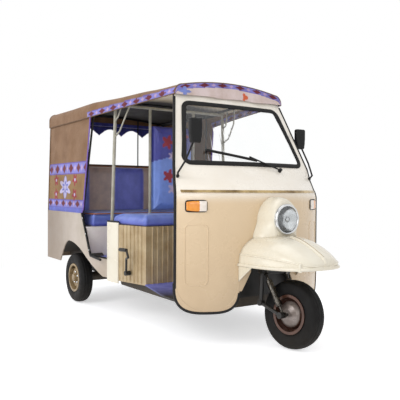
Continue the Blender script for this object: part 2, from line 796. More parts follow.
@dataclass
class Studio:
    """Pale floor, soft lamps, white surroundings and the camera at the photograph's place."""

    eye: Point = (3.6778, -2.3362, 0.9475)
    yaw: float = 33.6
    pitch: float = -0.99
    roll: float = 0.31
    lens: float = 50.70
    sensor: float = 36.0
    middle: Point = (0.2, 0, 0.7)
    sky: float = 0.84
    floor_half: float = 30.0
    floor_glow: float = 0.5
    shadow_ends: Pair = (1.7, 3.4)
    lamps: tuple[tuple[str, Point, float, float], ...] = (
        ("key", (0.8, -5.0, 3.8), 84.0, 2.4), ("front", (4.6, -3.2, 1.9), 32.0, 2.2),
        ("fill", (5.2, 1.8, 2.6), 10.0, 3.0), ("top", (-0.6, -0.2, 5.4), 46.0, 3.6),
        ("back", (-5.0, -2.8, 3.0), 30.0, 3.0), ("door", (-0.5, -4.6, 1.0), 20.0, 1.6))

    def camera(self) -> None:
        """Sets the camera from its yaw, pitch and roll."""
        yaw, pitch, roll = (math.radians(v) for v in (self.yaw, self.pitch, self.roll))
        ahead = np.array([-math.cos(yaw) * math.cos(pitch), math.sin(yaw) * math.cos(pitch), math.sin(pitch)])
        right = np.array([math.sin(yaw), math.cos(yaw), 0.0])
        up = np.cross(right, ahead)
        x = right * math.cos(roll) + up * math.sin(roll)
        y = -right * math.sin(roll) + up * math.cos(roll)
        data = bpy.data.cameras.new("camera")
        data.lens, data.sensor_width, data.dof.use_dof = self.lens, self.sensor, False
        bpy.context.scene.camera = posed("camera", data, (x, y, -ahead), self.eye)

    def light(self) -> None:
        """Hangs the lamps, each turned to the middle of the part, and lights the world."""
        for name, where, watts, size in self.lamps:
            data = bpy.data.lights.new(name, "AREA")
            data.energy, data.size = watts, size
            back = unit(np.asarray(where) - self.middle)
            side = unit(np.cross((0.1, 1.0, 0), back))
            posed(name, data, (side, np.cross(back, side), back), where)
        world = bpy.data.worlds.new("studio")
        bpy.context.scene.world = world
        tree = bare_tree(world)
        soft = add(tree, "Background", {"Color": linear("#F3F4F8"), "Strength": self.sky})
        white = add(tree, "Background", {"Color": WHITE, "Strength": 1.0})
        shade = add(tree, "MixShader", {0: background_rays(tree), 1: soft, 2: white})
        add(tree, "OutputWorld", {"Surface": shade})

    def paper(self) -> bpy.types.Material:
        """Builds the floor's paper, which keeps the part's shadow near it and is plain white away from it.

        Returns:
            The material.
        """
        made = bpy.data.materials.new("white_paper_sweep")
        tree = bare_tree(made)
        where = add(tree, "TexCoord", out="Object")
        cloud = add(tree, "TexNoise", {"Scale": 0.4, "Vector": where}, out="Fac")
        tone = add(tree, "ValToRGB", {"Fac": cloud}, ((0.3, "#FAFAFA"), (0.7, "#F6F6F7")))
        lit = add(tree, "BsdfDiffuse", {"Color": tone})
        glow, white = (add(tree, "Emission", {"Color": WHITE, "Strength": s}) for s in (self.floor_glow, 1.0))
        near = add(tree, "AddShader", {0: lit, 1: glow})
        away = add(tree, "VectorMath", {0: where}, out="Value", operation="LENGTH")
        near_r, far_r = self.shadow_ends
        far = add(tree, "MapRange", {"Value": away, "From Min": near_r, "From Max": far_r},
                  interpolation_type="SMOOTHSTEP")
        seen = add(tree, "MixShader", {0: far, 1: near, 2: white})
        both = add(tree, "MixShader", {0: background_rays(tree), 1: lit, 2: seen})
        add(tree, "OutputMaterial", {"Surface": both})
        return made

    def floor(self) -> None:
        """Lays a wide pale floor, a flat grid."""
        run = np.linspace(-self.floor_half, self.floor_half, 9)
        skin = woven(xyz(run[:, None], run[None], 0.0))
        mesh = bpy.data.meshes.new("floor")
        mesh.from_pydata(skin.points.tolist(), [], skin.quads.tolist())
        mesh.materials.append(self.paper())
        ground = bpy.data.objects.new("floor", mesh)
        bpy.context.scene.collection.objects.link(ground)

    def build(self) -> None:
        """Sets the view, camera, light and floor."""
        bpy.context.scene.view_settings.view_transform = "Standard"
        self.camera()
        self.light()
        self.floor()


class SubAssembly(ABC):
    """A group of pieces that is built round the frame."""

    @abstractmethod
    def build(self, frame: dict) -> None:
        """Builds the pieces.

        Args:
            frame: the loaded frame, with its CAD nodes.
        """


@dataclass
class Cab(SubAssembly):
    """Front shell and what is fixed to it: pressed panels, lamps, nose, glass, mirrors and mudguard."""

    # Shell in mm by height: how far centre line and door edge lie behind its front, and half its width
    heights: Row = (205, 900, 934, 942, 950, 1020, 1099, 1600)
    centre_back: Row = (0, 0, 9, 13, 20, 100, 195, 459)
    edge_back: Row = (200, 200, 208, 213, 217, 245, 265, 466)
    half: Row = (588, 588, 584, 582, 580, 569, 560, 440)
    front_x: float = 1845.0
    panel: tuple[Point, ...] = ((0.42, 0.374), (0.54, 0.374), (0.54, 0.74), (0.42, 0.74))
    panel_corner: float = 0.03
    panel_bead: float = 0.0045
    # Each lobe's middle and radius, and the power that squares its foot
    lobe: Point = (0.410, 0.385, 0.180)
    foot_power: float = 0.62
    foot_lap: float = 0.008
    edging_r: float = 0.0095
    edging_z: Pair = (0.355, 1.555)
    screen: tuple[Pair, ...] = ((-0.488, 1.120), (0.488, 1.120), (0.392, 1.521), (-0.392, 1.521))
    screen_corner: float = 0.05
    screen_bead: Pair = (0.016, 0.007)
    blade: tuple[Pair, Pair] = ((-0.330, 0.045), (1.204, 1.146))
    blade_oval: Pair = (0.009, 0.008)
    mirror_heads: tuple[Point, ...] = ((0.898, -0.525, 1.300), (0.628, 0.567, 1.325))
    mirror_half: Point = (0.019, 0.042, 0.073)
    mirror_taper: float = 0.2
    mirror_glass: Point = (0.0035, 0.034, 0.062)
    # The lamp's face, and the nose behind it: its foot's middle, radius and flare,
    # then its half width and its rise at shell and lamp
    lamp_x: float = 1979.0
    lamp_z: float = 0.773
    lamp_r: float = 0.087
    nose_foot: Point = (1883.0, 0.126, 0.016)
    nose_wide: Pair = (0.112, 0.098)
    nose_tall: Pair = (0.135, 0.098)
    nose_face_r: float = 0.09
    # Middle, width and height of an indicator, its lens's rise and the grid row where amber meets clear
    indicator: tuple[float, float, float, float] = (0.483, 0.852, 0.110, 0.066)
    lens_rise: float = 0.017
    lens_split: int = 13
    # Mudguard's table in mm: place from the wheel's axle, half width, rim's and crest's heights
    wheelbase: float = 2045.0
    guard: tuple[tuple[float, float, float, float], ...] = (
        (-207, 238, 486, 680), (-75, 235, 490, 674), (17, 222, 493, 663), (100, 202, 497, 638),
        (162, 180, 501, 611), (212, 152, 505, 585), (244, 118, 508, 568), (259, 78, 510, 555),
        (266, 38, 511, 536), (267, 4, 512, 514))
    guard_wall: float = 0.003
    rim_angle: float = 0.02
    skirt_depth: float = 0.105
    skirt_wall: float = 0.0025
    nodes: tuple[tuple, ...] = (
        ("front_shell", BEIGE), ("belt_trim", BELT), ("door_rubbers", EDGING), ("windscreen_seal", RUBBER),
        ("windscreen", GLASS), ("wiper", PLASTIC), ("mirror_right", PLASTIC), ("mirror_left", PLASTIC),
        ("front_floor", MAT), ("steering_head", BLACK))

    def x_at(self, y: Array, z: Array, out: float = 0.0) -> Array:
        """Gives the shell's X: a circle in plan through the centre line and both door edges at each height.

        Args:
            y: half width in metres.
            z: height in metres.
            out: distance outside the surface.

        Returns:
            X in metres.
        """
        centre, edge, half = (np.interp(np.asarray(z) * MM, self.heights, row) for row in
                              (self.centre_back, self.edge_back, self.half))
        sag = edge - centre
        r = (sag**2 + half**2) / (2 * sag)
        return along(self.front_x - centre - r + np.sqrt((r + out * MM) ** 2 - (np.asarray(y) * MM) ** 2))

    def on_shell(self, y: Array, z: Array, out: float) -> Array:
        """Gives points on the shell, or a distance outside it."""
        return xyz(self.x_at(y, z, out), y, z)

    def panels(self) -> None:
        """Presses a raised rounded rectangle into each side of the shell: a bead along its outline."""
        y, z = rounded_loop(self.panel, self.panel_corner, 140).T
        beads = [cord(self.on_shell(side * y, z, -0.0018), self.panel_bead, (1, 0.2 * side, 0), True)
                 for side in SIDES]
        place("shell_pressed_panels", joined(beads), BEIGE, True)

    def lobe_rim(self, share: Array, radius: float, power: float) -> tuple[Array, Array]:
        """Gives a lobe's lower outline: half a superellipse, which is a circle where the power is one.

        Args:
            share: 0 at the outer side to 1 at the inner side.
            radius: half the outline's width.
            power: how square it is, less than one for tighter corners.

        Returns:
            Half width and height of each point.
        """
        t = -np.pi * (share - np.sin(4 * np.pi * share) / (4 * np.pi))
        out, up = signed(np.cos(t), power), signed(np.sin(t), power)
        return self.lobe[0] + radius * out, self.lobe[1] + radius * up

    def feet(self) -> None:
        """Squares each lobe's foot: a thin sheet from inside the lobe's arc to a squarer edge."""
        share, across = np.linspace(0, 1, 97)[:, None], np.linspace(0, 1, 9)
        inner = self.lobe_rim(share, self.lobe[2] - self.foot_lap, 1.0)
        outer = self.lobe_rim(share, self.lobe[2], self.foot_power)
        y, z = (a + (b - a) * across for a, b in zip(inner, outer))
        sheets = [woven(self.on_shell(side * y, z, 0.0005)[:, ::side]) for side in SIDES]
        place("shell_feet", joined(sheets), BEIGE, thick=0.003)

    def rubbers(self) -> None:
        """Lays a rubber edging round each foot and up each door edge, and a bead over the screen's seal."""
        y, z = self.lobe_rim(np.linspace(0, 0.86, 90), self.lobe[2], self.foot_power)
        lines = [self.on_shell(side * y, z, -0.004) for side in SIDES]
        z = np.linspace(*self.edging_z, 120)
        edge, half = (np.interp(z * MM, self.heights, row) for row in (self.edge_back, self.half))
        lines += [xyz(along(self.front_x - edge - 4), side * (half - 2) / MM, z) for side in SIDES]
        edging = joined([cord(line, self.edging_r, AHEAD, sides=10) for line in lines])
        place("shell_edging", edging, RUBBER, True)
        y, z = rounded_loop(self.screen, self.screen_corner, 320).T
        bead = carried(self.on_shell(y, z, 0.002), circle(1.0, 14) * self.screen_bead, True, (1, 0, 0.4))
        place("windscreen_seal_bead", bead, RUBBER, True)

    def wiper_blade(self) -> None:
        """Sheathes the wiper's blade in rubber: a flat oval along the glass between the blade's ends."""
        y, z = (np.linspace(*ends, 40) for ends in self.blade)
        sheath = carried(self.on_shell(y, z, 0.013), circle(1.0) * self.blade_oval, False, (1, 0, 0.4))
        place("wiper_blade", sheath, RUBBER, True, slot="black_plastic")

    def nose(self) -> None:
        """Lofts the lamp nose from the shell to the lamp's face: each section stands on the mudguard, swells
        to the lamp's height and closes above it in a power curve, which runs to a circle at the lamp."""
        u = np.linspace(0, 1, 44)[:, None]
        x_mid = self.front_x + (self.lamp_x - self.front_x) * u
        table = np.asarray(self.guard)
        half, rim, crest = (np.interp(x_mid - self.wheelbase, table[:, 0], table[:, k] / MM)
                            for k in (1, 2, 3))
        middle, radius, flare = self.nose_foot
        base = np.sqrt(radius**2 - np.clip((x_mid - middle) / MM, 0, 0.1) ** 2) + flare * (1 - u)
        low = rim + (crest - rim) * np.sqrt(1 - np.clip(base / half, 0, 1) ** 2.5) ** 0.8
        fall = 1 - np.sqrt(1 - np.clip((u - 0.5) / 0.5, 0, 1) ** 2)
        wide, tall = (at[0] + (at[1] - at[0]) * v for at, v in ((self.nose_wide, u), (self.nose_tall, fall)))
        power = 2 / (1.8 + 0.2 * u)
        k, a = np.linspace(0, 1, 16)[None, :-1], np.linspace(0, np.pi / 2, 28)[None]
        y = np.hstack([base + (wide - base) * k**2 * (3 - 2 * k), wide * np.cos(a).clip(0) ** power])
        z = np.hstack([low + (self.lamp_z - low) * k, self.lamp_z + tall * np.sin(a) ** power])
        y, z = doubled(y, -1), doubled(z)
        x = self.x_at(y, z, 0.0005)
        grid = xyz(x + (along(self.lamp_x) - x) * u, y, z)
        out = self.nose_face_r * unit(np.stack([y[-1], z[-1] - self.lamp_z], -1))
        face = xyz(along(self.lamp_x), out[:, 0], self.lamp_z + out[:, 1])
        skin = woven(np.concatenate([grid, face[None]])[:, ::-1], False, True)
        place("lamp_nose", skin, CREAM, stands_for="nose")

    def mirrors(self) -> None:
        """Moulds a boxy head round each mirror, narrower to its foot, with a domed glass to the driver."""
        heads, glasses = [], []
        size = np.array(self.mirror_half)
        bulge, glass_y, glass_z = self.mirror_glass
        v, w = np.meshgrid(np.linspace(-1, 1, 15), np.linspace(-1, 1, 19), indexing="ij")
        dome = -size[0] - bulge * (1 - v**4) * (1 - w**4)
        narrow = 1 - self.mirror_taper * np.clip(-w, 0, 1)
        for centre in np.asarray(self.mirror_heads):
            head = rounded_box(-size, size, 0.012, 0.006)
            head.points[:, 1] *= 1 - self.mirror_taper * np.clip(-head.points[:, 2] / size[2], 0, 1)
            head.points += centre
            heads.append(head)
            glasses.append(woven(centre + xyz(dome, glass_y * v * narrow, glass_z * w)[::-1]))
        place("mirror_shells", joined(heads), PLASTIC, True)
        place("mirror_glasses", joined(glasses), CHROME)

    def lamp(self) -> None:
        """Turns the headlamp: a rolled bezel, a dished reflector, a bulb cap and a domed front glass."""
        r, centre = self.lamp_r, (along(self.lamp_x), 0, self.lamp_z)
        a = np.linspace(-0.5 * np.pi, 1.25 * np.pi, 18)
        ring = np.stack([0.009 + 0.0085 * np.sin(a), r - 0.0005 + 0.0075 * np.cos(a)], -1)
        bezel = np.vstack([[[0.0, r + 0.007], [0.002, r + 0.0072]], ring])
        place("headlamp_rim", turned(bezel, centre, AHEAD, 72), CHROME, True, stands_for="headlamp_bezel")
        t, clear_r = np.linspace(0, 1, 16), r - 0.004
        dish = turned(np.stack([0.001 + 0.008 * t**2, clear_r * t], -1), centre, AHEAD, 48)
        cap = turned(np.stack([0.002 + 0.011 * np.sqrt(1 - t**2), 0.017 * t], -1), centre, AHEAD, 24)
        place("headlamp_reflector", dish + cap, CHROME, True)
        dome = turned(np.stack([0.0095 + 0.0185 * (1 - t**2), clear_r * t], -1), centre, AHEAD, 64)
        place("headlamp_glass", dome, LAMP, True, stands_for="headlamp_lens")

    def indicators(self) -> None:
        """Moulds each indicator: a pillow over a rectangle, amber outside, clear inside, dark framed."""
        yc, zc, width, height = self.indicator
        u, v = np.meshgrid(np.linspace(-1, 1, 33), np.linspace(-1, 1, 21), indexing="ij")
        rise = self.lens_rise * ((1 - np.abs(u) ** 6) * (1 - np.abs(v) ** 6)) ** 0.4
        z = zc + v * height / 2 * (1 - 0.2 * (u > 0) * u**2)
        amber, clear, frames = [], [], []
        t = turn(80)
        rim_z = zc + height / 2 * signed(np.sin(t), 0.3)
        for side in SIDES:
            grid = self.on_shell(side * (yc + u * width / 2), z, 0.0)
            grid[..., 0] += rise
            amber.append(woven(grid[self.lens_split:][::side]))
            clear.append(woven(grid[:self.lens_split + 1][::side]))
            rim = self.on_shell(side * (yc + width / 2 * signed(np.cos(t), 0.3)), rim_z, 0.002)
            frames.append(cord(rim, 0.0045, AHEAD, True))
        place("indicator_amber_lenses", joined(amber), AMBER, stands_for="front_indicators")
        place("indicator_clear_lenses", joined(clear), CLEAR)
        place("indicator_frames", joined(frames), RUBBER, True)

    def guard_grid(self, angles: Array, rows: int) -> Array:
        """Gives mudguard points: a smooth run through the table's rows, each a superellipse over its rim.

        Args:
            angles: angle of each point round the arch, from the left rim to the right rim.
            rows: rows along the length.

        Returns:
            Array of rows by angles by 3.
        """
        table = curve(self.guard, rows)
        place_mm, half, rim, crest = table.T[:, :, None]
        y = half * signed(np.cos(angles), 0.8) / MM
        z = (rim + (crest - rim) * np.abs(np.sin(angles)) ** 0.8) / MM
        x = np.broadcast_to(along(self.wheelbase + place_mm), y.shape)
        meet = np.clip(1 - np.arange(rows)[:, None] / (rows * 0.22), 0, 1) ** 2
        return xyz(x + (self.x_at(y, 0.5, 0.0004) - x[:1]) * meet, y, z)

    def mudguard(self) -> None:
        """Draws the domed mudguard with a rolled rim, a second bead and a crest that dips in ahead."""
        a = np.pi * (0.5 - 0.5 * np.cos(np.linspace(0, np.pi, 61)))
        place("mudguard_dome", woven(self.guard_grid(a[::-1], 64)), CREAM, thick=self.guard_wall,
              stands_for="front_mudguard")
        beads = []
        for angle, r in ((self.rim_angle, 0.011), (0.3, 0.0055)):
            left, right = self.guard_grid(np.array([angle, np.pi - angle]), 72).swapaxes(0, 1)
            beads.append(carried(np.vstack([left, right[::-1]]), circle(r)))
        crest = self.guard_grid(np.array([np.pi / 2]), 80)[14:64, 0]
        crest[-7:, 2] -= np.linspace(0.001, 0.018, 7)
        beads.append(carried(crest, circle(1.0, 16) * (0.015, 0.009)))
        line = carried(crest[2:] + (0, 0, 0.0075), circle(1.0) * (0.0035, 0.003))
        place("mudguard_crest_line", line, BELT, True)
        place("mudguard_beads", joined(beads), CREAM, True)
        spot = self.guard_grid(np.array([np.pi - self.rim_angle]), 72)[40, 0]
        clip = rounded_box(spot - (0.01, 0.010, 0.016), spot + (0.01, 0.006, 0.036), 0.004, 0.004)
        place("mudguard_clip", clip, CREAM, True)

    def skirts(self) -> None:
        """Hangs a thin skirt under each rear foot of the mudguard: a strip that tapers to nothing ahead."""
        rows, down = 18, np.linspace(0, 1, 9)
        depth = self.skirt_depth * (1 - np.linspace(0, 1, rows)) ** 1.2
        strips = []
        for side, angle in ((1, self.rim_angle), (-1, np.pi - self.rim_angle)):
            grid = np.repeat(self.guard_grid(np.array([angle]), 160)[:rows], len(down), 1)
            grid[..., 2] -= depth[:, None] * down
            strips.append(woven(grid[:, ::side]))
        place("mudguard_skirts", joined(strips), CREAM, thick=self.skirt_wall)

    def build(self, frame: dict) -> None:
        """Dresses the cab's nodes and adds its pieces.

        Args:
            frame: the loaded frame.
        """
        dress_nodes(frame, self.nodes)
        for step in (self.wiper_blade, self.mirrors, self.panels, self.feet, self.rubbers, self.nose,
                     self.lamp, self.indicators, self.mudguard, self.skirts):
            step()


@dataclass
class Wheel(SubAssembly):
    """One road wheel: a tyre with its tread, and the CAD rim in paint."""

    name: str
    body: str
    tyre: str
    rim: str
    centre: Point
    axis: Point
    paint: Finish
    outer_r: float = 0.205
    half_w: float = 0.0525
    bead_r: float = 0.1085
    section_power: float = 2.8
    lugs: int = 44
    lug_from: float = 0.036
    lug_depth: float = 0.004
    grooves: Point = (-0.022, 0.0, 0.022)
    groove_w: float = 0.0026
    groove_depth: float = 0.005
    zigzag: float = 0.006
    crown_r: float = 0.186
    drum_r: float = 0.078
    nuts: int = 0
    nut_ring: float = 0.046
    nut_seat: float = 0.0215

    def tread(self) -> Skin:
        """Turns the tyre: its section is a superellipse, with zigzag grooves and shoulder lugs cut in.

        Returns:
            The closed surface.
        """
        t, theta = turn(76), turn(264)
        mid, tall = (self.outer_r + self.bead_r) / 2, (self.outer_r - self.bead_r) / 2
        w = self.half_w * signed(np.cos(t), 2 / self.section_power)[:, None]
        r = mid + tall * signed(np.sin(t), 2 / self.section_power)[:, None]
        wave = np.abs(np.mod(theta * self.lugs / FULL_TURN, 1.0) - 0.5) * 2 - 0.5
        crown = np.clip((r - self.crown_r) / 0.010, 0, 1)
        cut = sum(np.exp(-(((w - row - self.zigzag * wave) / self.groove_w) ** 2)) for row in self.grooves)
        lug = (np.abs(w) > self.lug_from) * np.exp(-((wave / 0.2) ** 2))
        ring = 0.0007 * np.sin(r * FULL_TURN / 0.009) * (1 - crown)
        reach = r - crown * (self.groove_depth * np.clip(cut, 0, 1) + self.lug_depth * lug)
        across = w + ring * np.sign(w)
        spoke = spokes(self.axis, theta)
        grid = np.asarray(self.centre) + across[..., None] * unit(self.axis) + reach[..., None] * spoke
        return woven(grid, True, True)

    def fixings(self) -> None:
        """Sets hexagon nuts in a ring, each a turned profile of six sides, and the tyre's valve."""
        centre, out = np.asarray(self.centre), np.array([0.0, math.copysign(1.0, self.centre[1]), 0.0])
        angles = np.arange(self.nuts) * FULL_TURN / self.nuts + 0.4
        shape = np.array([(0.0, 0.0), (0.0, 0.0095), (0.009, 0.0095), (0.0105, 0.008), (0.0105, 0.005),
                          (0.016, 0.0048), (0.016, 0.0)])
        nuts = [turned(shape, centre + self.nut_ring * way + self.nut_seat * out, out, 6)
                for way in xyz(np.cos(angles), 0.0, np.sin(angles))]
        place(self.name + "_nuts", joined(nuts), CHROME, True, body=self.body)
        away = np.array([math.cos(2.2), 0.0, math.sin(2.2)])
        t = np.linspace(0, 1, 12)[:, None]
        path = centre + (0.099 - 0.012 * t**2) * away + (0.014 + 0.028 * t) * out
        stem = cord(path, 0.0038, away, sides=10)
        place(self.name + "_valve", stem, RUBBER, True, body=self.body, slot="tyre")

    def build(self, frame: dict) -> None:
        """Makes the tyre and paints the rim.

        Args:
            frame: the loaded frame.
        """
        place(self.name + "_tread", self.tread(), TYRE, True, body=self.body, stands_for=self.tyre)
        rim = smoothed(frame, self.rim, self.paint, self.body)
        if self.nuts:
            self.fixings()
        if self.paint.dyed:
            out = np.linalg.norm(np.cross(points_of(rim.data) - self.centre, self.axis), axis=1)
            stain(rim.data, np.where((out < self.drum_r)[:, None], *palette("#857A74", "#583A2D")))


@dataclass
class Cushion:
    """A foam pad in vinyl: a rounded box blown up as cloth, drawn in along its sewn channels and dyed."""

    name: str
    node: str
    low: Point
    high: Point
    thick_axis: int
    cap: float
    dye: Callable[[Array], Array]
    channels: Row = ()
    taper: float = 0.0
    step: float = 0.015
    radius: float = 0.026
    shrink: float = 0.006
    pressure: float = 4.0
    frames: int = 14
    channel_depth: float = 0.012
    channel_w: float = 0.011

    def blown(self, piece: Object) -> None:
        """Blows the pad up with Blender's cloth, with its back held, and keeps each point within the cap.

        Args:
            piece: the pad's object, whose mesh is changed.
        """
        rest = points_of(piece.data)
        k = self.thick_axis
        held = np.nonzero(rest[:, k] < self.low[k] + 0.35 * (self.high[k] - self.low[k]))[0]
        group = piece.vertex_groups.new(name="held")
        group.add(held.tolist(), 1.0, "REPLACE")
        cloth = piece.modifiers.new("stuffing", "CLOTH")
        cloth.settings.vertex_group_mass = "held"
        cloth.settings.use_pressure, cloth.settings.uniform_pressure_force = True, self.pressure
        cloth.settings.effector_weights.gravity = 0.0
        cloth.settings.quality = 4
        scene = bpy.context.scene
        for step in range(1, self.frames + 1):
            scene.frame_set(step)
        move = points_of(piece.evaluated_get(bpy.context.evaluated_depsgraph_get()).data) - rest
        piece.modifiers.remove(cloth)
        piece.vertex_groups.remove(group)
        scene.frame_set(1)
        size = np.maximum(np.linalg.norm(move, axis=1, keepdims=True), 1e-9)
        kept = rest + move * np.minimum(1, self.cap / size)
        piece.data.vertices.foreach_set("co", kept.astype(np.float32).ravel())

    def build(self) -> None:
        """Makes the pad."""
        k = self.thick_axis
        low, high = np.array(self.low) + self.shrink, np.array(self.high) - self.shrink
        low[k] = self.low[k]
        skin = rounded_box(low, high, self.radius, self.step)
        share = (skin.points[:, 0] - self.low[0]) / (self.high[0] - self.low[0])
        skin.points[:, 1] *= 1 - self.taper * share
        piece = place(self.name, skin, VINYL, True, stands_for=self.node)
        self.blown(piece)
        co = points_of(piece.data)
        front = np.clip((co[:, k] - self.low[k]) / (self.high[k] - self.low[k]) * 1.6 - 0.6, 0, 1)
        for y in self.channels:
            co[:, k] -= self.channel_depth * front * np.exp(-(((co[:, 1] - y) / self.channel_w) ** 2))
        piece.data.vertices.foreach_set("co", co.astype(np.float32).ravel())
        fine = piece.modifiers.new("fine", "SUBSURF")
        fine.levels = fine.render_levels = 1
        stain(piece.data, self.dye(co))
        piece.data.update()


def seat_blue(co: Array) -> Array:
    """Dyes a pad in one mid blue, lighter towards its top by height.

    Args:
        co: the pad's points.

    Returns:
        Colour of each point.
    """
    deep, light = palette("#5058B4", "#7088D2")
    rise = np.clip((co[:, 2] - co[:, 2].min()) / np.ptp(co[:, 2]), 0, 1)[:, None]
    return deep + (light - deep) * rise


def bench_stripes(co: Array) -> Array:
    """Dyes the rear backrest in upright panels, blue and brown by turns.

    Args:
        co: the pad's points.

    Returns:
        Colour of each point.
    """
    blue, brown = palette("#858EF2", "#DCC2B2")
    inside = np.any([(co[:, 1] > a) & (co[:, 1] < b) for a, b in ((-0.31, -0.05), (0.25, 0.6))], axis=0)
    return np.where(inside[:, None], brown, blue)


def driver_flowers(co: Array) -> Array:
    """Dyes the driver's backrest: light blue below a slanting line, deeper above, with red and pale flowers.

    Args:
        co: the pad's points.

    Returns:
        Colour of each point.
    """
    deep, light, red, pale = palette("#43469E", "#7B98E2", "#9E2136", "#CBB9D2")
    _, y, z = co.T
    colour = np.where((z < 1.17 + 0.275 * (y + 0.19))[:, None], light, deep)
    for flower_y, flower_z, size, ink in (
            (-0.06, 1.33, 0.06, red), (-0.02, 1.22, 0.035, pale), (-0.05, 1.06, 0.06, red),
            (-0.01, 0.96, 0.05, pale), (0.09, 1.38, 0.05, red), (0.1, 1.0, 0.06, red)):
        colour[(co[:, 0] > -0.26) & rosette(y - flower_y, z - flower_z, size, 5)] = ink
    return colour


@dataclass
class Seats(SubAssembly):
    """Bench, driver's seat and their piping."""

    pads: tuple[Cushion, ...] = (
        Cushion("bench_cushion", "rear_seat_cushion", (-1.222, -0.56, 0.65), (-0.56, 0.56, 0.76), 2, 0.012,
                seat_blue, (-0.19, 0.19), step=0.018),
        Cushion("bench_backrest", "rear_backrest", (-1.322, -0.56, 0.65), (-1.222, 0.56, 1.18), 0, 0.012,
                bench_stripes, (-0.31, -0.05, 0.25), step=0.018),
        Cushion("driver_seat_pad", "driver_cushion", (-0.212, -0.552, 0.69), (0.201, 0.552, 0.765), 2, 0.012,
                seat_blue, taper=0.13),
        Cushion("driver_back_pad", "driver_backrest", (-0.275, -0.19, 0.78), (-0.223, 0.19, 1.46), 0, 0.01,
                driver_flowers, step=0.009, radius=0.018, shrink=0.004))
    piping_r: float = 0.005

    def piping(self) -> None:
        """Sews a cord along the bench's front edge and round the backrest's front, each a superellipse."""
        t, cord = turn(160), circle(self.piping_r, 8)
        c, s = signed(np.cos(t), 0.12), signed(np.sin(t), 0.12)
        bench = carried(xyz(-0.891 + 0.318 * c, 0.546 * s, 0.752), cord, True)
        rear = carried(xyz(-1.224, 0.545 * c, 0.915 + 0.25 * s), cord, True, AHEAD)
        place("seat_piping", bench + rear, PIPING, True)

    def build(self, frame: dict) -> None:
        """Makes the pads and their piping, and paints the box and base.

        Args:
            frame: the loaded frame.
        """
        for pad in self.pads:
            pad.build()
        self.piping()
        dress_nodes(frame, (("seat_box", BOX), ("rear_seat_base", LILAC_TIN)))


